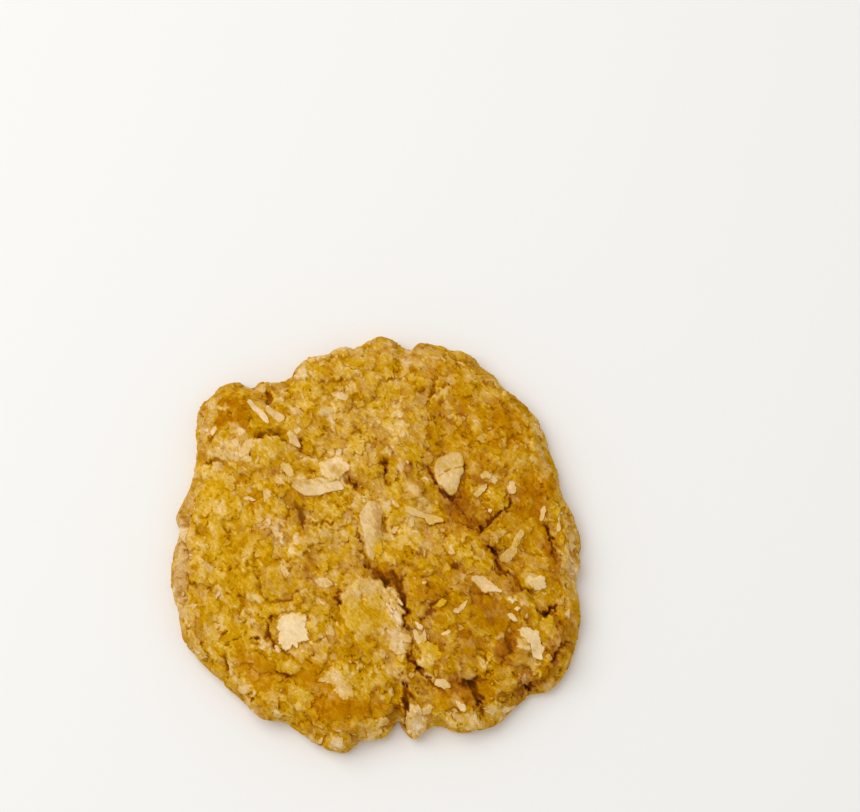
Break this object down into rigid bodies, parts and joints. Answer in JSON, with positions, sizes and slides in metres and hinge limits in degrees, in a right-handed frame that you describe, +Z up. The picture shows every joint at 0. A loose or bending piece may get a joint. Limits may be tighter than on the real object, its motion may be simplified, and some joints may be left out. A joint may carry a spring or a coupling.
{
  "type": "cashew cookie",
  "caption": "Whole round oat and cashew cookie, lumpy and cracked on top with flakes showing, sloping craggy side and flat underside.",
  "frame": {"origin": "on the flat underside, below the middle of the cookie's bounding box", "axes": "+Z up through the cookie's thickness, away from the underside; +Y towards the side that is at the top of the picture, away from the notch"},
  "size_m": [0.0754, 0.0776, 0.0109],
  "materials": {
    "baked_dough": "golden brown baked oat dough with paler oat flakes and pieces of nut, matt with a slight buttery sheen"
  },
  "bodies": {
    "root": {"cookie": "baked_dough"}
  },
  "joints": []
}
